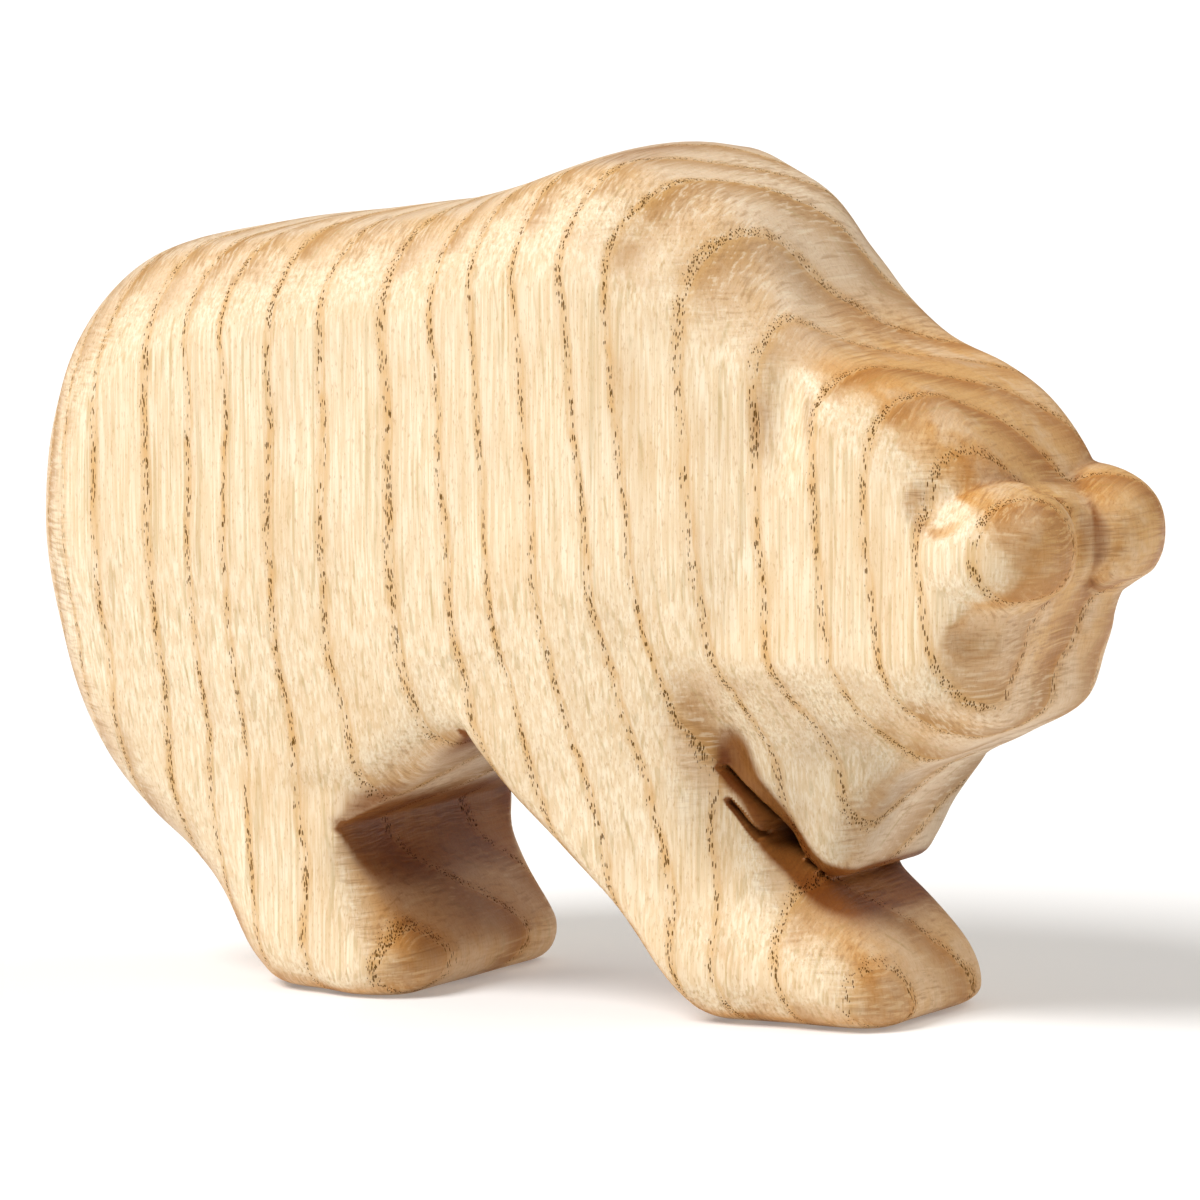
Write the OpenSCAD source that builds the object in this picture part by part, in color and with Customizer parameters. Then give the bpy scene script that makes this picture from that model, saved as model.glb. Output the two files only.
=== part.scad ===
// Carved wooden bear standing with its head down, cut from one block of ash.
// +X is forward (the nose), +Z is up, the soles rest on z = 0.

/* [Body] */
// Height of the shoulder hump above the floor
hump_height = 88.5; // [86:0.5:92]
// Height of the back just behind the hump
back_height = 82.5; // [79:0.5:84]
// Distance from the origin back to the rump
rump_reach = 60; // [58:0.5:64]
// Half of the width at the ribs
body_half = 23; // [21:0.5:26]
// Radius of the long edges of the back
back_edge = 9; // [6:0.5:12]
// How far the back falls from its centre line to its edges
crown = 2; // [0.5:0.5:4]

/* [Legs] */
// Half of the width across the legs
leg_half = 18.5; // [17:0.5:20]
// Distance from the origin forward to the front toes
toe_reach = 40.8; // [39:0.2:43]
// Rounding of the toes and of the edges of the soles
foot_edge = 5; // [3:0.5:6]

/* [Belly arch] */
// Height of the top of the arch
arch_height = 28.5; // [25:0.5:31]
// Height of the corner where the arch meets the rear leg
arch_corner = 18; // [15:0.5:20]

/* [Head] */
// Half of the width of the head
head_half = 19.5; // [17:0.5:20]
// Radius of the long edges of the head
head_edge = 8; // [5:0.5:9]
// Half of the width across the jaw just above the muzzle
jaw_half = 13; // [11:0.5:15]
// Half of the width of the muzzle at its root
muzzle_half = 12; // [10:0.5:13]
// Half of the width of the muzzle at its tip
nose_half = 9.5; // [7:0.5:11]
// Length of the thin saw cut that runs up behind the chin
cut_length = 8; // [4:0.5:9]

/* [Ears] */
// Distance from the origin forward to the front of the ears
ear_reach = 61; // [59:0.5:63]
// Half of the width of one ear
ear_half = 10.5; // [8.5:0.5:11]
// Half of the height of one ear
ear_rise = 7; // [5:0.5:8]

/* [Hidden] */
wood = [0.91, 0.76, 0.53];
sliver = 0.02;
below = 2;
disc_facets = 36;
ball_facets = 36;
widest_height = 50;
rump_middle = 49;

// Ribs of the trunk from the rump to the chest: [x, lowest z, highest z, half width]
trunk_ribs = [
    [-rump_reach, rump_middle - 4, rump_middle + 4, 8],
    [-rump_reach + 1, 38, 60, 13.5],
    [-rump_reach + 4, 31, 68, 17.5],
    [-50.5, 22.5, back_height - 8.2, body_half - 2.2],
    [-43, 14.5, back_height - 4.8, body_half - 0.5],
    [-35, 7.6, back_height - 3.4, body_half],
    [-29, 1, back_height - 2.5, body_half],
    [-22, -below, back_height - 1.5, body_half],
    [-12, -below, back_height + 0.3, body_half],
    [-5, -below, back_height + 2, body_half],
    [2, -below, hump_height - 1.6, body_half - 0.3],
    [9, -below, hump_height, body_half - 0.8],
    [15.5, -below, hump_height - 0.5, body_half - 1.4],
    [21, 8, hump_height - 3.2, body_half - 2],
    [26, 20, hump_height - 7.8, body_half - 2.8],
    [30, 28, hump_height - 15.5, body_half - 4],
    [32, 40, hump_height - 26.5, body_half - 7]
];

// Ribs of the neck and head from the shoulder to the brow: [x, lowest z, highest z, half width]
head_ribs = [
    [16, 38, 77, head_half],
    [24, 28, 77, head_half],
    [30, 25.5, 74.3, head_half],
    [36, 25, 70, head_half],
    [42.5, 26.5, 67.4, head_half - 0.3],
    [48, 29, 64, head_half - 0.8],
    [52.5, 32.5, 59, head_half - 1.5],
    [55.5, 38, 54, head_half - 3],
    [56.6, 43, 50, head_half - 5.5]
];

// Layers of the front leg from the sole to the chest: [z, rear x, front x, half width]
leg_layers = [
    [0.5, 14, toe_reach - 0.6, leg_half - 0.5],
    [4, 12, toe_reach, leg_half],
    [7.5, 10, toe_reach - 1.9, leg_half],
    [11.5, 8, toe_reach - 5.5, leg_half - 0.3],
    [16, 5, toe_reach - 11, leg_half - 0.7],
    [21, 2, toe_reach - 15.3, leg_half - 0.9],
    [26, -3, toe_reach - 17.6, leg_half - 0.7],
    [34, -3, toe_reach - 14.8, leg_half + 0.5]
];
sole_layer = [-below, 12, toe_reach - 3, leg_half - 2.5];

// Balls whose hull is the muzzle: [x, z, half width]
muzzle_edge = 3;
middle_half = (muzzle_half + nose_half) / 2;
muzzle_balls = [
    [25, 28.3, muzzle_half],
    [30.5, 22.5, middle_half],
    [33.6, 18.8, nose_half],
    [35, 18.8, nose_half],
    [37.2, 24, middle_half],
    [44, 32, muzzle_half],
    [28, 36, muzzle_half]
];

// Side view of the arch between the legs: rear leg, belly, front leg
arch_rear = [
    [-16, -below],
    [-13.2, 0.5],
    [-12.4, 4],
    [-13.6, 8.5],
    [-15.6, 13],
    [-18.7, arch_corner]
];
arch_belly = [
    [-14, arch_corner + 3.1],
    [-9, arch_height - 3.4],
    [-4.6, arch_height]
];
arch_front = [
    [-2.8, arch_height - 0.6],
    [1.4, 22.3],
    [8.2, 14.8],
    [14.4, 8],
    [19.6, 1.5],
    [22, -below]
];

// Side view of the gap between the chin and the instep
gap_line = [
    [28.2, 21.4],
    [31.8, 17.2],
    [34, 15.4],
    [45, 15.4],
    [45, 9],
    [36, 12.4],
    [31.6, 15.8],
    [28, 20]
];
cut_mouth = [28.2, 20.8];
cut_width = 0.5;

// Point a fraction t along the smooth curve from b to c, with a and d beyond them
function curve(a, b, c, d, t) =
    0.5 * (2 * b + (c - a) * t + (2 * a - 5 * b + 4 * c - d) * t * t
    + (3 * b - a - 3 * c + d) * t * t * t);

// The rows of a list with steps - 1 smooth rows added between each pair
function smooth_rows(rows, steps) =
    let (last = len(rows) - 1)
    [
        for (i = [0 : last - 1], k = [0 : steps - 1])
            curve(rows[max(i - 1, 0)], rows[i], rows[i + 1], rows[min(i + 2, last)], k / steps),
        rows[last]
    ];

// A pair of upright discs across the figure, one on each side
module disc_pair(x, half, z, radius) {
    for (side = [-1, 1])
        translate([x, side * (half - radius), z])
            rotate([0, 90, 0])
                cylinder(h = sliver, r = radius, center = true, $fn = disc_facets);
}

// One rib of the trunk: crowned on top, widest at the ribs, narrower at the legs
module trunk_rib(rib) {
    x = rib[0];
    low = rib[1];
    half = rib[3];
    edge = min(back_edge, half - 1, (rib[2] - low) / 2 - 0.5);
    low_edge = min(foot_edge, edge);
    shoulder = rib[2] - crown * half / body_half - edge;
    disc_pair(x, half, shoulder, edge);
    disc_pair(x, edge + 3, rib[2] - edge, edge);
    disc_pair(x, half, max(low + edge, min(widest_height, shoulder)), edge);
    disc_pair(x, min(half, leg_half), low + low_edge, low_edge);
}

// One rib of the head: full width down to the cheeks, then in to the jaw
module head_rib(rib) {
    x = rib[0];
    low = rib[1];
    half = rib[3];
    edge = min(head_edge, (rib[2] - low) / 2 - 0.5);
    disc_pair(x, half, rib[2] - edge, edge);
    disc_pair(x, half, max(low + edge, 44), edge);
    disc_pair(x, (half + jaw_half) / 2 + 1, low + 1.1 * edge, edge * 0.8);
    disc_pair(x, jaw_half, low + edge / 2, edge / 2);
}

// Flat layer of the front leg with rounded corners
module leg_layer(layer) {
    for (side = [-1, 1], x = [layer[1] + foot_edge, layer[2] - foot_edge])
        translate([x, side * (layer[3] - foot_edge), layer[0]])
            cylinder(h = sliver, r = foot_edge, $fn = disc_facets);
}

module trunk() {
    ribs = smooth_rows(trunk_ribs, 2);
    for (i = [0 : len(ribs) - 2])
        hull() {
            trunk_rib(ribs[i]);
            trunk_rib(ribs[i + 1]);
        }
}

module head() {
    ribs = smooth_rows(head_ribs, 2);
    for (i = [0 : len(ribs) - 2])
        hull() {
            head_rib(ribs[i]);
            head_rib(ribs[i + 1]);
        }
}

module front_leg() {
    layers = concat([sole_layer], smooth_rows(leg_layers, 2));
    for (i = [0 : len(layers) - 2])
        hull() {
            leg_layer(layers[i]);
            leg_layer(layers[i + 1]);
        }
}

module muzzle() {
    hull()
        for (ball = muzzle_balls, side = [-1, 1])
            translate([ball[0], side * (ball[2] - muzzle_edge), ball[1]])
                sphere(r = muzzle_edge, $fn = ball_facets);
}

module ears() {
    depth = 8.2;
    for (side = [-1, 1])
        translate([ear_reach - depth, side * (ear_half - 1), 49.8])
            scale([depth, ear_half, ear_rise])
                sphere(r = 1, $fn = ball_facets);
}

// Hollow behind each ear and scoop under it
module ear_hollows() {
    for (side = [-1, 1]) {
        translate([51, side * 21.5, 54.6])
            scale([4, 5.5, 4.5])
                sphere(r = 1, $fn = ball_facets);
        translate([ear_reach - 0.6, side * 12.5, 38.9])
            scale([6, 11, 5])
                sphere(r = 1, $fn = ball_facets);
    }
}

// Opening under the belly, through from flank to flank
module belly_arch() {
    outline = concat(
        smooth_rows(arch_rear, 3),
        smooth_rows(arch_belly, 3),
        smooth_rows(arch_front, 3)
    );
    rotate([90, 0, 0])
        linear_extrude(height = 4 * body_half, center = true)
            polygon(outline);
}

// Gap under the chin and the thin saw cut that runs on up behind it
module chin_gap() {
    rotate([90, 0, 0])
        linear_extrude(height = 4 * body_half, center = true) {
            polygon(gap_line);
            translate(cut_mouth)
                rotate(135)
                    translate([-1, -cut_width / 2])
                        square([cut_length + 1, cut_width]);
        }
}

module below_floor() {
    translate([0, 0, -25])
        cube([300, 100, 50], center = true);
}

module bear() {
    color(wood)
        difference() {
            union() {
                trunk();
                front_leg();
                head();
                muzzle();
                ears();
            }
            ear_hollows();
            belly_arch();
            chin_gap();
            below_floor();
        }
}

bear();
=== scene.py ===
"""A carved ash bear standing head down on a pale floor. Lengths in the sculpting part are millimetres."""

import math

import bpy
import numpy as np
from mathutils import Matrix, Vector


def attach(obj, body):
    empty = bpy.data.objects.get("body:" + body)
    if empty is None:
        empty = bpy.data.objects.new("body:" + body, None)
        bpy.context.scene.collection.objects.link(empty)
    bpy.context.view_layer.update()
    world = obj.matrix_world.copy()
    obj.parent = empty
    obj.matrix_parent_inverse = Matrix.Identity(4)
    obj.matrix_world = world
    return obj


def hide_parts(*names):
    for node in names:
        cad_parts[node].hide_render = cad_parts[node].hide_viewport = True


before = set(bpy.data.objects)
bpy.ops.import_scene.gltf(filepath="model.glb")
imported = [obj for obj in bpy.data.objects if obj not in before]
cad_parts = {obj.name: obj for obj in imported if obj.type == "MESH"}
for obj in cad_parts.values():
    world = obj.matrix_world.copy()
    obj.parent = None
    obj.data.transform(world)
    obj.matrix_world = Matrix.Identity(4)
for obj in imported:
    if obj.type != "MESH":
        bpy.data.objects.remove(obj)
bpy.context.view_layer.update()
MM = 0.001


# ---- 1. The shape, as a distance field -----------------------------------------------------

# Side views, each a closed smooth curve through these [x, z] points. A doubled point is a corner.
TRUNK_AND_LEGS = [
    (-59.8, 50), (-58.8, 59), (-55.8, 67.2), (-50.6, 73.6), (-43.5, 77.6), (-34, 79.5),
    (-24, 81.0), (-14.5, 82.3), (-7, 83.7), (0, 86.0), (7, 88.3), (13, 88.8),
    (18.5, 86.8), (24.2, 83.6), (28.9, 77), (31.5, 69), (32.5, 58), (31.5, 46),
    (28.5, 36), (25.6, 30), (24.2, 26.6), (26.2, 23.4), (27.7, 20.8), (27.9, 18.8),
    (30.8, 16.2), (35.5, 12.3), (39.8, 7.2), (41.7, 3), (41.2, 0.5), (37.5, -1.5),
    (25, -1.5), (20.4, 1.4), (15.2, 8.1), (8.8, 14.9), (1.6, 21.8), (-3.4, 28.2),
    (-4.2, 28.2), (-9, 25.2), (-14, 21.2), (-18.6, 18.2), (-18.9, 17.8), (-17.8, 14),
    (-14.1, 9), (-11.2, 4.6), (-11.9, 1), (-15.5, -1.5), (-26.5, -1.5), (-32.0, 2.2),
    (-35.9, 8.4), (-40.4, 12.8), (-46.2, 16.9), (-52.4, 24), (-56.8, 34), (-59.4, 42),
]
HEAD_AND_MUZZLE = [
    (16, 77.5), (25, 77), (30.5, 73.4), (36, 69.2), (42.5, 67.0), (48, 64),
    (51.8, 59.7), (54.4, 54.6), (56.2, 50), (56.2, 45), (55.4, 41), (54.4, 37.3),
    (53.5, 32.3), (48.3, 29.2), (43.4, 27.0), (41.7, 25.6), (38.9, 21.6), (37.4, 18.2),
    (35.9, 15.8), (33.4, 15.4), (31.0, 17.2), (29.2, 20.0), (26.0, 24.0), (23.4, 26.8),
    (21, 31), (15, 45), (14, 66),
]
# The gap under the chin with the saw cut that runs on up behind it, then a nick below the cut
CHIN_GAP = [
    (23.4, 26.8), (28.6, 21.2), (29.6, 19.3), (31.0, 17.2), (33.2, 15.3), (38, 14.8),
    (44, 15.5), (44, 11.5), (36.6, 12.3), (31.2, 16.2), (28.6, 18.6), (27.6, 19.6),
    (27.6, 20.4), (28.1, 20.9), (23.1, 26.5),
]
NICK = [(24.2, 23.4), (27.7, 19.5), (27.3, 19.1), (24.0, 23.1)]


# Ellipsoids added to or cut from the block, each as its centre and radii. All repeat across Y = 0.
ANKLE_HOLLOW = ((28.2, 21.2, 22.6), (9.2, 8.2, 8.4))
NECK_HOLLOW = ((33.6, 24.2, 66.0), (3.6, 6.6, 13.0))
EAR_BAND = ((51.2, 0.0, 49.8), (6.6, 19.0, 6.7))
EAR = ((52.1, 10.2, 49.9), (8.6, 9.2, 7.0), 2.25)
EAR_NOTCH = ((62.6, 0.0, 50.0), (6.2, 4.4, 9.5))
EAR_SOCKET = ((50.6, 22.2, 56.2), (4.8, 5.8, 5.2))
OVAL_SCOOP = ((58.2, 21.3, 41.1), (7.4, 8.7, 5.2))

# The groove across the brow under the ears: where it runs [x, z] and its radius
BROW_GROOVE = (59.7, 41.2)
BROW_GROOVE_RADIUS = 4.3

NICK_FLOOR = 10.0
SAW_RIM = 0.3
SOLE_RIM = 1.8


def smooth_loop(points, steps=6):
    """A closed Catmull-Rom curve through the points."""
    p = np.array(points, float)
    a, b, c, d = np.roll(p, 1, 0), p, np.roll(p, -1, 0), np.roll(p, -2, 0)
    rows = []
    for t in np.arange(steps) / steps:
        rows.append(
            0.5 * (2 * b + (c - a) * t + (2 * a - 5 * b + 4 * c - d) * t**2
                   + (3 * b - a - 3 * c + d) * t**3)
        )
    return np.stack(rows, 1).reshape(-1, 2)


def polygon_distance(loop, x, z):
    """Signed distance from each point to a polygon, negative inside."""
    nearest = np.full(x.shape, 1e9)
    inside = np.zeros(x.shape, bool)
    for (ax, az), (bx, bz) in zip(loop, np.roll(loop, -1, 0)):
        ex, ez = bx - ax, bz - az
        length2 = ex * ex + ez * ez
        if length2 < 1e-9:
            continue
        t = np.clip(((x - ax) * ex + (z - az) * ez) / length2, 0, 1)
        nearest = np.minimum(nearest, (x - ax - t * ex) ** 2 + (z - az - t * ez) ** 2)
        crosses = (az <= z) != (bz <= z)
        inside ^= crosses & (x < ax + (z - az) / (ez if ez else 1) * ex)
    return np.where(inside, -1, 1) * np.sqrt(nearest)


class SideView:
    """A side view's distances on a fine grid, looked up by bilinear interpolation."""

    LOW = (-70.0, -8.0)
    STEP = 0.4
    SIZE = (350, 260)

    def __init__(self, loop):
        x = self.LOW[0] + self.STEP * np.arange(self.SIZE[0])
        z = self.LOW[1] + self.STEP * np.arange(self.SIZE[1])
        self.grid = polygon_distance(loop, *np.meshgrid(x, z, indexing="ij"))

    def __call__(self, x, z):
        u = np.clip((x - self.LOW[0]) / self.STEP, 0, self.SIZE[0] - 1.001)
        v = np.clip((z - self.LOW[1]) / self.STEP, 0, self.SIZE[1] - 1.001)
        i, j = u.astype(int), v.astype(int)
        a, b = u - i, v - j
        g = self.grid
        return (
            (g[i, j] * (1 - a) + g[i + 1, j] * a) * (1 - b)
            + (g[i, j + 1] * (1 - a) + g[i + 1, j + 1] * a) * b
        )


trunk_side = SideView(smooth_loop(TRUNK_AND_LEGS))
head_side = SideView(smooth_loop(HEAD_AND_MUZZLE))
gap_side = SideView(np.array(CHIN_GAP))
nick_side = SideView(np.array(NICK))


def ramp(low, high, v):
    """Smoothly from 0 at low to 1 at high; high may be below low."""
    t = np.clip((v - low) / (high - low), 0, 1)
    return t * t * (3 - 2 * t)


def blend_max(a, b, k):
    """The larger of the two, blended over k where they are close."""
    h = np.clip(0.5 + 0.5 * (a - b) / k, 0, 1)
    return b + (a - b) * h + k * h * (1 - h)


def join(a, b, k):
    """Union with a fillet of about k."""
    return -blend_max(-a, -b, k)


def carve(a, b, k):
    """a with b cut away, its rim eased by about k."""
    return blend_max(a, -b, k)


def slab(side, across, radius):
    """A side view given thickness, with its edges rounded to the radius."""
    a, b = side + radius, across + radius
    return np.hypot(np.maximum(a, 0), np.maximum(b, 0)) + np.minimum(np.maximum(a, b), 0) - radius


def ball(x, y, z, centre, radii, power=2.0):
    """Near enough the distance to an ellipsoid, or to a squarer one for a power above 2."""
    p = [np.abs(v - c) / r for v, c, r in zip((x, y, z), centre, radii)]
    k0 = sum(v**power for v in p) ** (1 / power)
    k1 = np.sqrt(sum((v ** (power - 1) / r) ** 2 for v, r in zip(p, radii)))
    return k0 ** (power - 1) * (k0 - 1) / (k1 + 1e-9)


def trunk_half(x, z):
    """Half of the trunk's width: fullest at the ribs, less at the legs, rump and neck."""
    low = ramp(50, 14, z)
    half = 23.0 - low * (4.2 + 1.8 * ramp(-8, 17, x))
    half += 1.7 * np.exp(-(((z - 5) / 6.5) ** 2)) * ramp(2, 22, x)
    half -= 2.5 * ramp(-25, -60, x)
    return half - 3.0 * ramp(8, 32, x)


def trunk_edge(x, z):
    """Rounding radius of the trunk's and legs' edges."""
    edge = 9.0 + 5.5 * ramp(-33, -58, x) * ramp(25, 45, z) + 3.0 * ramp(2, 22, x) * ramp(60, 80, z)
    near_arch = np.hypot((x - 2) / 24.0, (z - 12) / 19.0)
    arch_edge = 2.8 + 3.8 * ramp(-2, -8, x) * ramp(18, 23, z)
    arch_edge -= 1.4 * np.exp(-((x + 18.5) ** 2 + (z - 17) ** 2) / 9.0)
    edge += (arch_edge - edge) * ramp(1.35, 0.95, near_arch)
    foot = ramp(19, 6, z) * np.maximum(ramp(-16, -24, x), ramp(16, 28, x))
    edge += (8.0 - edge) * foot
    edge += (2.4 - edge) * np.exp(-((x - 27.5) ** 2 + (z - 21) ** 2) / 26.0)
    shin = ramp(17.5, 9, z) * ramp(-24, -14, x) * ramp(0, -8, x)
    return np.maximum(edge + (6.5 - edge) * shin, 1.4)


def wobble(x, y, z):
    """The slight unevenness that hand sanding leaves, in millimetres."""
    waves = (
        (0.31, 0.22, 0.17, 0.4), (-0.19, 0.35, 0.27, 1.9), (0.45, -0.28, 0.12, 3.1),
        (0.12, 0.41, -0.38, 4.4), (-0.52, 0.09, 0.33, 5.2), (0.27, -0.5, 0.46, 0.9),
    )
    return sum(np.sin(a * x + b * y + c * z + d) for a, b, c, d in waves) * 0.035


def bear(x, y, z):
    """Signed distance to the bear, in millimetres."""
    ay = np.sqrt(y * y + 0.04)
    top = z + 0.006 * y * y * ramp(45, 72, z)
    trunk = slab(trunk_side(x, top), ay - trunk_half(x, z), trunk_edge(x, z))
    trunk = carve(trunk, ball(x, ay, z, *ANKLE_HOLLOW), 2.4)

    half = 19.4 - 0.8 * ramp(27, 57, x) - 6.3 * ramp(39.5, 26.2, z) - 2.0 * ramp(28, 15, z)
    edge = 7.5 + 2.5 * ramp(36, 50, x) * ramp(48, 60, z) - 3.7 * ramp(31, 25, z)
    head = slab(head_side(x, z), ay - half, edge)

    d = join(trunk, head, 2.6)
    d = carve(d, ball(x, ay, z, *NECK_HOLLOW), 2.2)
    d = join(d, ball(x, ay, z, *EAR_BAND), 0.5)
    d = join(d, ball(x, ay, z, *EAR), 0.3)
    d = carve(d, ball(x, ay, z, *EAR_NOTCH), 0.8)
    d = carve(d, ball(x, ay, z, *EAR_SOCKET), 0.5)
    groove = np.hypot(x - BROW_GROOVE[0], z - BROW_GROOVE[1]) - BROW_GROOVE_RADIUS
    d = carve(d, groove, 0.8)
    d = carve(d, ball(x, ay, z, *OVAL_SCOOP), 0.5)
    d = d + wobble(x, y, z)
    d = carve(d, gap_side(x, z), SAW_RIM)
    d = carve(d, np.maximum(nick_side(x, z), NICK_FLOOR - ay), SAW_RIM)
    return carve(d, z, SOLE_RIM)


# ---- 2. The mesh ---------------------------------------------------------------------------


def grid_lines(spans):
    """Grid coordinates with a step of its own over each (low, high, step) span."""
    runs = [np.linspace(lo, hi, round((hi - lo) / step) + 1)[:-1] for lo, hi, step in spans]
    return np.concatenate(runs + [[spans[-1][1]]])


# Finest at the saw cut behind the chin, fine at the arch and the head
XS = grid_lines([
    (-63, -24, 0.92), (-24, -4, 0.7), (-4, 22.8, 0.86), (22.8, 29.0, 0.23), (29.0, 63, 0.50),
])
YS = grid_lines([(-25.2, 25.2, 0.69)])
ZS = grid_lines([(-1.1, 18.6, 0.62), (18.6, 27.0, 0.25), (27.0, 60, 0.56), (60, 91, 0.82)])


def skin(field, axes):
    """Surface nets: corners as an (n, 3) array and quads as an (m, 4) array."""
    inside = field < 0
    shape = field.shape
    sums = np.zeros((3, field.size))
    hits = np.zeros(field.size)
    quads = []
    for axis in range(3):
        first = np.moveaxis(inside, axis, 0)[:-1]
        last = np.moveaxis(inside, axis, 0)[1:]
        found = np.array(np.nonzero(first != last))
        start = np.empty_like(found)
        others = [a for a in range(3) if a != axis]
        start[axis], start[others[0]], start[others[1]] = found
        end = start.copy()
        end[axis] += 1
        f0, f1 = field[tuple(start)], field[tuple(end)]
        t = f0 / (f0 - f1)
        point = [axes[a][start[a]] for a in range(3)]
        point[axis] = axes[axis][start[axis]] * (1 - t) + axes[axis][end[axis]] * t
        around = []
        for du, dv in ((0, 0), (1, 0), (1, 1), (0, 1)):
            cell = start.copy()
            cell[others[0]] -= du
            cell[others[1]] -= dv
            flat = np.ravel_multi_index(tuple(cell), shape)
            around.append(flat)
            hits += np.bincount(flat, minlength=field.size)
            for a in range(3):
                sums[a] += np.bincount(flat, point[a], field.size)
        around = np.stack(around, 1)
        turn = (f0 < 0) ^ (axis == 1)
        quads.append(np.where(turn[:, None], around, around[:, ::-1]))
    used = np.nonzero(hits)[0]
    number = np.full(field.size, -1)
    number[used] = np.arange(len(used))
    return (sums[:, used] / hits[used]).T, number[np.concatenate(quads)]


def hollow_shade(points, normals):
    """How hollow the place is, 0 on open faces to 1 in a slot; the wood is painted darker by it, as shade
    in the hollows.
    """
    hollow = 0
    for reach in (3.0, 8.0, 18.0):
        room = bear(*(points + normals * reach).T) / reach
        hollow = hollow + np.clip(1 - room, 0, 1) / 3
    return hollow


def carved_mesh(name):
    """The bear's surface, each corner moved on to the true surface."""
    layers = [bear(x, *np.meshgrid(YS, ZS, indexing="ij")) for x in XS]
    points, quads = skin(np.stack(layers), (XS, YS, ZS))
    for _ in range(2):
        value = bear(*points.T)
        slope = np.stack(
            [(bear(*(points + s).T) - bear(*(points - s).T)) / 0.2 for s in np.eye(3) * 0.1], 1
        )
        move = value / np.maximum((slope**2).sum(1), 0.3)
        points = points - slope * np.clip(move, -0.25, 0.25)[:, None] * 0.8
    points[:, 2] = np.maximum(points[:, 2], 0.0)
    mesh = bpy.data.meshes.new(name)
    mesh.from_pydata((points * MM).tolist(), [], quads.tolist())
    mesh.validate()
    mesh.polygons.foreach_set("use_smooth", [True] * len(mesh.polygons))
    # Kept on the mesh for the material's painted shade in hollows
    shade_layer = mesh.attributes.new("hollow_shade", "FLOAT", "POINT")
    shade_layer.data.foreach_set("value", hollow_shade(points, slope))
    mesh.update()
    return mesh


# ---- 3. Ash ----------------------------------------------------------------------------------


class Graph:
    """Short ways to write a material's nodes."""

    def __init__(self, name):
        self.material = bpy.data.materials.new(name)
        self.material.use_nodes = True
        self.tree = self.material.node_tree
        self.tree.nodes.clear()

    def node(self, kind, inputs=(), **settings):
        made = self.tree.nodes.new(kind)
        for key, value in settings.items():
            setattr(made, key, value)
        for key, value in dict(inputs).items():
            self.feed(made.inputs[key], value)
        return made

    def feed(self, socket, value):
        if isinstance(value, bpy.types.NodeSocket):
            self.tree.links.new(value, socket)
        else:
            socket.default_value = value

    def math(self, operation, a, b=0.0, c=0.0, clamp=False):
        made = self.node("ShaderNodeMath", operation=operation, use_clamp=clamp)
        for socket, value in zip(made.inputs, (a, b, c)):
            self.feed(socket, value)
        return made.outputs[0]

    def vector(self, operation, a, b=(0, 0, 0), scale=1.0):
        made = self.node("ShaderNodeVectorMath", operation=operation)
        self.feed(made.inputs[0], a)
        if operation == "SCALE":
            self.feed(made.inputs["Scale"], scale)
        else:
            self.feed(made.inputs[1], b)
        return made.outputs["Value" if operation in ("LENGTH", "DOT_PRODUCT") else "Vector"]

    def ramp(self, value, low, high, to_low=0.0, to_high=1.0):
        """to_low at low, to_high at high, eased between them; low may be above high."""
        if low > high:
            low, high, to_low, to_high = high, low, to_high, to_low
        made = self.node(
            "ShaderNodeMapRange",
            {0: value, 1: low, 2: high, 3: to_low, 4: to_high},
            interpolation_type="SMOOTHSTEP",
        )
        return made.outputs[0]

    def noise(self, at, scale=1.0, detail=2.0, roughness=0.5):
        made = self.node(
            "ShaderNodeTexNoise",
            {"Vector": at, "Scale": scale, "Detail": detail, "Roughness": roughness},
        )
        return made.outputs["Fac"]

    def mix(self, amount, a, b, blend="MIX"):
        made = self.node("ShaderNodeMix", data_type="RGBA", blend_type=blend)
        self.feed(made.inputs[0], amount)
        self.feed(made.inputs[6], a)
        self.feed(made.inputs[7], b)
        return made.outputs[2]


# Growth rings: the pith's place, where the innermost ring begins and how wide each one is
PITH = (300.0, -130.0, 0.0)
FIRST_RING = 262.0
RING_WIDTHS = (
    6.5, 6, 5, 5, 6, 6, 6, 4, 5.5, 5, 4.5, 6, 8, 6, 5.5, 4.5, 5, 7, 5, 4.5, 5, 5, 5, 5,
)

CREAM = (0.86, 0.74, 0.55, 1)
STRAW = (0.74, 0.57, 0.36, 1)
OLIVE = (0.50, 0.36, 0.17, 1)
ROSE = (0.70, 0.52, 0.35, 1)
TAN = (0.60, 0.40, 0.20, 1)
ORANGE = (0.62, 0.36, 0.13, 1)
AMBER = (0.40, 0.19, 0.04, 1)
UMBER = (0.34, 0.17, 0.05, 1)
PORE = (0.12, 0.055, 0.006, 1)
# Multiplied in as painted shade round the head and on the low carved faces
SHADE_GLAZE = (0.86, 0.64, 0.34, 1)
# Multiplied in as grey painted shade on the ankle hollow and the muzzle side
SHADE_TINT = (0.66, 0.65, 0.64, 1)
# Multiplied in as painted shade in hollows
RECESS_SHADE_TINT = (0.37, 0.18, 0.055, 1)


# Centres of painted shade, in millimetres: round the head, in the ankle hollow and on the muzzle side
HEAD_SHADE_CENTRE = (49.0, 0.0, 57.0)
SHADED_ANKLE = (30.0, 19.0, 21.5)
SHADED_MUZZLE = (37.0, 13.0, 23.0)


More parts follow.
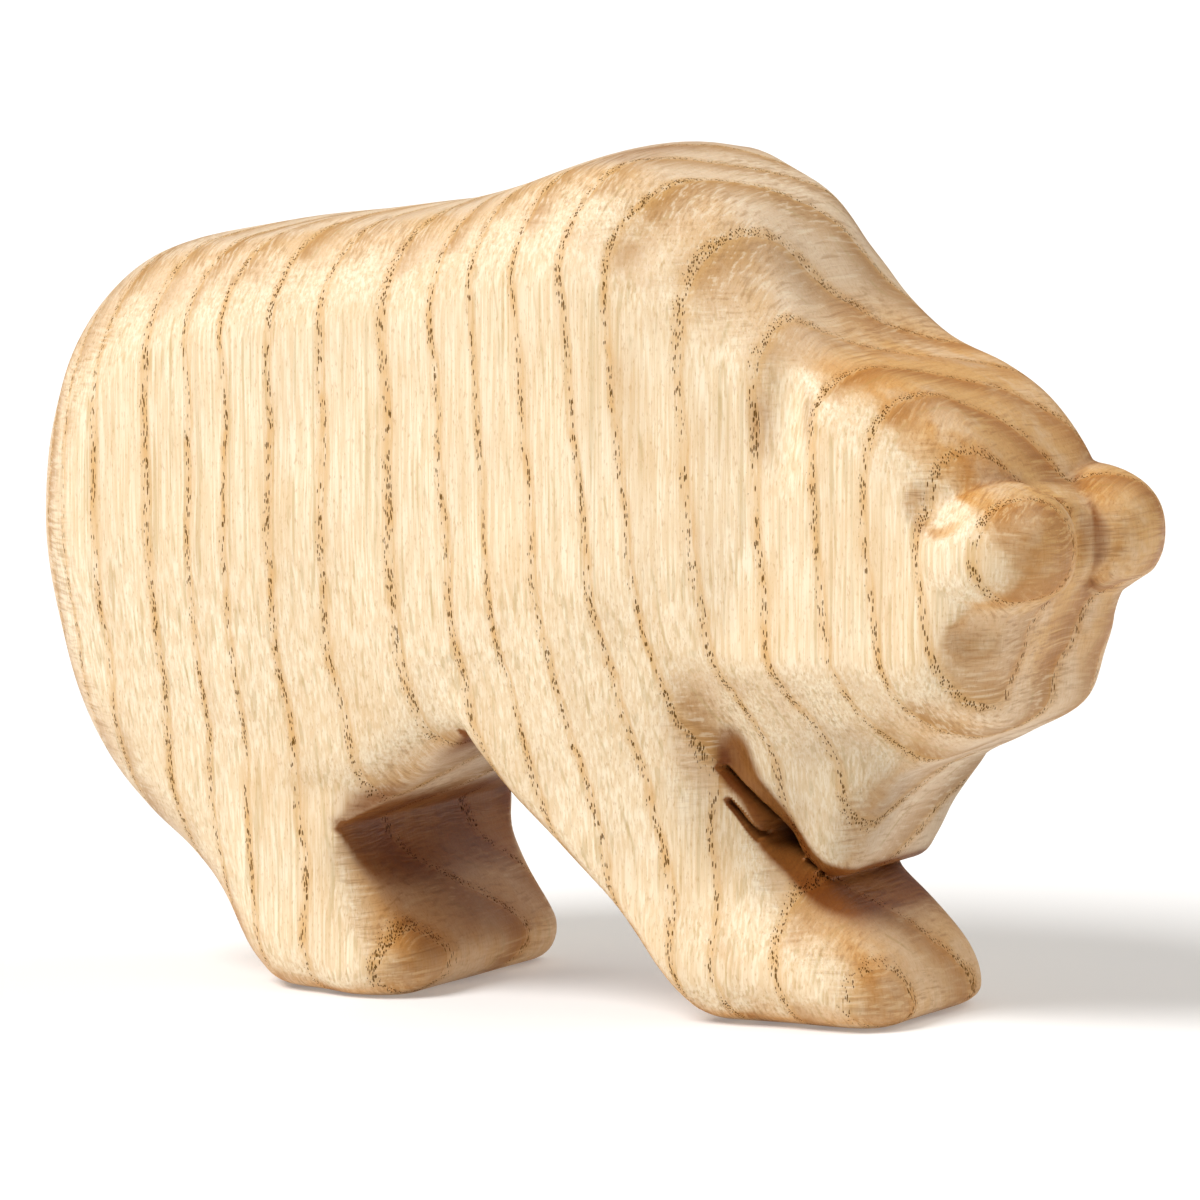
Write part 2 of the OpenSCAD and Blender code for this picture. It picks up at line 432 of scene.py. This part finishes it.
def ring_age(g, at, place):
    """How far through its year the wood is, 0 to 1, and a random number for each year."""
    bend = g.noise(g.vector("MULTIPLY", at, (0.020, 0.020, 0.034)), detail=2.0)
    bend = g.math("MULTIPLY", g.math("SUBTRACT", bend, 0.5), 3.0)
    ripple = g.noise(g.vector("MULTIPLY", at, (0.09, 0.09, 0.12)), detail=3.0)
    ripple = g.math("MULTIPLY", g.math("SUBTRACT", ripple, 0.5), 1.6)
    lean = g.math("MULTIPLY", g.math("SUBTRACT", place[2], 50),
                  g.ramp(place[0], -30, 10, 0, -0.09))
    flat = g.vector("MULTIPLY", at, (1, 1, 0))
    out = g.vector("LENGTH", g.vector("SUBTRACT", flat, PITH))
    out = g.math("ADD", g.math("ADD", out, lean), g.math("ADD", bend, ripple))
    years = len(RING_WIDTHS)
    spread = sum(RING_WIDTHS)
    share = g.math("DIVIDE", g.math("SUBTRACT", out, FIRST_RING), spread)
    count = g.node("ShaderNodeFloatCurve", {"Value": share})
    curve = count.mapping.curves[0]
    for done in range(1, years):
        curve.points.new(sum(RING_WIDTHS[:done]) / spread, done / years)
    for point in curve.points:
        point.handle_type = "VECTOR"
    count.mapping.update()
    out = g.math("MULTIPLY", count.outputs[0], years)
    chance = g.node("ShaderNodeTexWhiteNoise", {"W": g.math("FLOOR", out)},
                    noise_dimensions="1D")
    return g.math("FRACT", out), chance.outputs["Value"]


def pores(g, at, early, patchy):
    """Short open vessels lying along Z, in the early wood and more in some patches."""
    cells = g.node("ShaderNodeTexVoronoi", {"Vector": g.vector("MULTIPLY", at, (5.4, 5.4, 1.3)),
                                            "Scale": 1.0, "Randomness": 0.95})
    size = g.math("MULTIPLY", early, 0.46)
    pore = g.ramp(g.math("SUBTRACT", size, cells.outputs["Distance"]), -0.02, 0.10)
    keep = g.node("ShaderNodeSeparateColor", {0: cells.outputs["Color"]}).outputs[0]
    keep = g.math("ADD", keep, g.ramp(patchy, 0.35, 0.65, -0.25, 0.30))
    return g.math("MULTIPLY", pore, g.ramp(keep, 0.38, 0.52))


def ash():
    """Oiled ash: rings round a far-off pith, rows of open pores, fine fibres along Z."""
    g = Graph("ash_wood")
    at = g.vector("SCALE", g.node("ShaderNodeTexCoord").outputs["Object"], scale=1 / MM)
    place = g.node("ShaderNodeSeparateXYZ", {0: at}).outputs

    # Which way the face points: end grain on top, flat sides, and the carved faces between
    normal = g.node("ShaderNodeNewGeometry").outputs["Normal"]
    facing = g.node("ShaderNodeSeparateXYZ", {0: normal}).outputs
    end = g.ramp(g.math("ABSOLUTE", facing[2]), 0.12, 0.85)
    side = g.math("ABSOLUTE", facing[1])
    carved = g.ramp(side, 0.97, 0.75)
    blotch = g.noise(at, scale=0.13, detail=4.0, roughness=0.65)
    turned = g.math("ADD", side, g.ramp(blotch, 0.3, 0.7, -0.16, 0.16))
    cut = g.ramp(turned, 0.92, 0.55)

    age, year = ring_age(g, at, place)
    early = g.ramp(age, 0.21, 0.05)
    late = g.ramp(age, 0.35, 1.0)

    patchy = g.noise(at, scale=0.22, detail=2.0)
    pore = pores(g, at, early, patchy)

    # Fibres, stains and hand-sanding scratches
    fibre = g.noise(g.vector("MULTIPLY", at, (3.4, 3.4, 0.11)), detail=4.0, roughness=0.6)
    strand = g.noise(g.vector("MULTIPLY", at, (0.8, 0.8, 0.030)), detail=3.0)
    thread = g.noise(g.vector("MULTIPLY", at, (1.7, 1.7, 0.018)), detail=1.0)
    cloud = g.noise(at, scale=0.075, detail=3.0)
    stain = g.noise(g.vector("MULTIPLY", at, (0.16, 0.16, 0.07)), detail=4.0, roughness=0.6)
    speck = g.noise(g.vector("MULTIPLY", at, (5.0, 5.0, 1.3)), detail=2.0)
    sweep = g.node("ShaderNodeTexNoise", {"Vector": at, "Scale": 0.045}).outputs["Color"]
    sweep = g.vector("SCALE", sweep, scale=9.0)
    over_top = g.vector("ADD", g.vector("MULTIPLY", at, (2.8, 0.30, 0.9)), sweep)
    over_front = g.vector("ADD", g.vector("MULTIPLY", at, (0.4, 0.35, 3.0)), sweep)
    scratch = g.mix(end, g.noise(over_front, detail=3.0), g.noise(over_top, detail=3.0))

    # Colour: fibres and clouds, then the rings
    wood = g.mix(g.ramp(fibre, 0.36, 0.62), CREAM, STRAW)
    wood = g.mix(g.ramp(strand, 0.45, 0.70, 0, 0.40), wood, STRAW)
    wood = g.mix(g.ramp(thread, 0.58, 0.68, 0, 0.45), wood, OLIVE)
    wood = g.mix(g.ramp(cloud, 0.40, 0.70, 0, 0.20), wood, TAN)
    wood = g.mix(g.math("MULTIPLY", cut, 0.75), wood, ROSE)
    wood = g.mix(g.ramp(stain, 0.50, 0.74, 0, 0.22), wood, ORANGE)
    rounding = g.math("MULTIPLY", cut, g.ramp(turned, 0.15, 0.65))
    rounding = g.math("MULTIPLY", rounding, g.ramp(blotch, 0.35, 0.65, 0.15, 0.6))
    wood = g.mix(rounding, wood, ORANGE)
    heavy = g.math("MULTIPLY", late, g.ramp(year, 0, 1, 0.5, 1.0))
    wood = g.mix(g.math("MULTIPLY", heavy, g.ramp(cut, 0, 1, 0.10, 0.85)), wood, AMBER)
    wood = g.mix(g.ramp(age, 0.90, 0.99, 0, 0.50), wood, ORANGE)
    wood = g.mix(g.math("MULTIPLY", early, g.ramp(patchy, 0.3, 0.7, 0.25, 0.85)), wood, ORANGE)
    false_ring = g.math("SUBTRACT", age, g.ramp(year, 0, 1, 0.2, 0.7))
    false_ring = g.ramp(g.math("ABSOLUTE", false_ring), 0.045, 0.0)
    wood = g.mix(g.math("MULTIPLY", false_ring, g.ramp(patchy, 0.45, 0.65, 0, 0.55)), wood, OLIVE)

    # Scratches, specks and pores
    scored = g.ramp(g.noise(at, scale=0.10), 0.35, 0.60, 0.3, 1.0)
    scored = g.math("MULTIPLY", scored, carved)
    wood = g.mix(g.math("MULTIPLY", g.ramp(scratch, 0.52, 0.64, 0, 0.44), scored), wood, UMBER)
    wood = g.mix(g.math("MULTIPLY", g.ramp(scratch, 0.48, 0.37, 0, 0.42), scored), wood, CREAM)
    wood = g.mix(g.ramp(speck, 0.56, 0.74, 0, 0.35), wood, AMBER)
    wood = g.mix(g.math("MULTIPLY", pore, 0.9), wood, PORE)

    # Painted shade: round the head and on low carved faces, in the ankle hollow and on the muzzle side,
    # and in hollows
    head = g.vector("LENGTH", g.vector("SUBTRACT", at, HEAD_SHADE_CENTRE))
    head_and_feet_shade = g.math("MAXIMUM", g.ramp(head, 30, 17), g.ramp(place[2], 15, 7, 0, 0.8))
    head_and_feet_shade = g.math("MULTIPLY", head_and_feet_shade, g.ramp(blotch, 0.35, 0.60, 0.45, 1.0))
    wood = g.mix(g.math("MULTIPLY", head_and_feet_shade, cut), wood, SHADE_GLAZE, "MULTIPLY")
    # Grey painted shade on the ankle hollow and the muzzle side, alike on both sides
    both_sides = g.node("ShaderNodeCombineXYZ", {
        0: place[0], 1: g.math("ABSOLUTE", place[1]), 2: place[2]}).outputs[0]
    ankle = g.vector("LENGTH", g.vector("SUBTRACT", both_sides, SHADED_ANKLE))
    muzzle = g.vector("LENGTH", g.vector("SUBTRACT", both_sides, SHADED_MUZZLE))
    ankle_muzzle_shade = g.math("MAXIMUM", g.ramp(ankle, 12, 5), g.ramp(muzzle, 12, 5, 0, 0.7))
    wood = g.mix(ankle_muzzle_shade, wood, SHADE_TINT, "MULTIPLY")
    # Painted shade in hollows, darker the more hollow the place
    hollow = g.node("ShaderNodeAttribute", attribute_name="hollow_shade").outputs["Fac"]
    wood = g.mix(g.ramp(hollow, 0.13, 0.46), wood, RECESS_SHADE_TINT, "MULTIPLY")

    # Gloss and relief
    rough = g.math("ADD", g.ramp(cloud, 0.3, 0.7, 0.40, 0.56), g.math("MULTIPLY", pore, 0.3))
    rough = g.math("ADD", rough, g.ramp(fibre, 0.3, 0.7, -0.04, 0.05))

    relief = g.math("MULTIPLY", pore, -0.10)
    relief = g.math("ADD", relief, g.math("MULTIPLY", fibre, 0.035))
    relief = g.math("ADD", relief, g.math("MULTIPLY", g.math("MULTIPLY", scratch, carved), 0.12))
    relief = g.math("ADD", relief, g.math("MULTIPLY", early, -0.03))
    bump = g.node("ShaderNodeBump", {"Height": g.math("MULTIPLY", relief, MM),
                                     "Strength": 1.0, "Distance": 1.0})

    surface = g.node("ShaderNodeBsdfPrincipled",
                     {"Base Color": wood, "Roughness": rough, "Normal": bump.outputs[0],
                      "Specular IOR Level": g.ramp(pore, 0, 1, 0.32, 0.0)})
    surface.inputs["IOR"].default_value = 1.46
    surface.inputs["Subsurface Weight"].default_value = 0.06
    surface.inputs["Subsurface Radius"].default_value = (0.9, 0.5, 0.25)
    surface.inputs["Subsurface Scale"].default_value = 0.001
    g.node("ShaderNodeOutputMaterial", {"Surface": surface.outputs[0]})
    return g.material


# ---- 4. The figurine -------------------------------------------------------------------------

figurine = bpy.data.objects.new("bear_carving", carved_mesh("bear_carving"))
bpy.context.scene.collection.objects.link(figurine)
figurine.data.materials.append(ash())
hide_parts("bear")
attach(figurine, "root")


# ---- 5. Floor, light and camera ----------------------------------------------------------------

AZIMUTH = math.radians(29.0)
ELEVATION = math.radians(6.6)
BACK = Vector((math.sin(AZIMUTH) * math.cos(ELEVATION),
               -math.cos(AZIMUTH) * math.cos(ELEVATION),
               math.sin(ELEVATION)))
RIGHT = Vector((math.cos(AZIMUTH), math.sin(AZIMUTH), 0))
LOOK_AT = Vector((0.0019, 0.0, 0.041))
FLOOR_REACH = 3.0


def aim(obj, target):
    """Turn a lamp or the camera to look at the target."""
    obj.rotation_euler = (Vector(target) - obj.location).to_track_quat("-Z", "Y").to_euler()


def floor():
    """A plain white square to stand on."""
    mesh = bpy.data.meshes.new("floor")
    r = FLOOR_REACH
    mesh.from_pydata([(-r, -r, 0), (r, -r, 0), (r, r, 0), (-r, r, 0)], [], [(0, 1, 2, 3)])
    obj = bpy.data.objects.new("floor", mesh)
    bpy.context.scene.collection.objects.link(obj)
    g = Graph("floor_paint")
    paint = g.node("ShaderNodeBsdfPrincipled")
    paint.inputs["Base Color"].default_value = (0.76, 0.76, 0.76, 1)
    paint.inputs["Emission Color"].default_value = (1, 1, 1, 1)
    paint.inputs["Emission Strength"].default_value = 0.20
    paint.inputs["Roughness"].default_value = 0.7
    g.node("ShaderNodeOutputMaterial", {"Surface": paint.outputs[0]})
    mesh.materials.append(g.material)
    return obj


def lamp(name, towards, strength, spread, tint=(1, 1, 1)):
    """A broad soft light, as from a large panel far off in the direction given."""
    light = bpy.data.lights.new(name, "SUN")
    light.energy = strength
    light.angle = math.radians(spread)
    light.color = tint
    obj = bpy.data.objects.new(name, light)
    bpy.context.scene.collection.objects.link(obj)
    obj.location = LOOK_AT + towards.normalized() * 0.8
    aim(obj, LOOK_AT)
    return obj


UP = Vector((0, 0, 1))
key = lamp("key", -RIGHT * 0.66 + BACK * 0.38 + UP * 0.82, 3.45, 30.0, (1.0, 0.985, 0.97))
fill = lamp("fill", RIGHT * 0.75 - BACK * 0.2 + UP * 0.8, 1.1, 50.0, (1.0, 0.94, 0.86))

world = bpy.data.worlds.new("studio")
world.use_nodes = True
world.node_tree.nodes["Background"].inputs["Color"].default_value = (1, 1, 1, 1)
world.node_tree.nodes["Background"].inputs["Strength"].default_value = 0.28
bpy.context.scene.world = world
bpy.context.scene.view_settings.view_transform = "Standard"

camera = bpy.data.objects.new("camera", bpy.data.cameras.new("camera"))
bpy.context.scene.collection.objects.link(camera)
camera.data.lens = 270
camera.data.sensor_width = 36
camera.data.clip_end = 20
camera.location = LOOK_AT + BACK * 0.9375
aim(camera, LOOK_AT)
bpy.context.scene.camera = camera

floor()
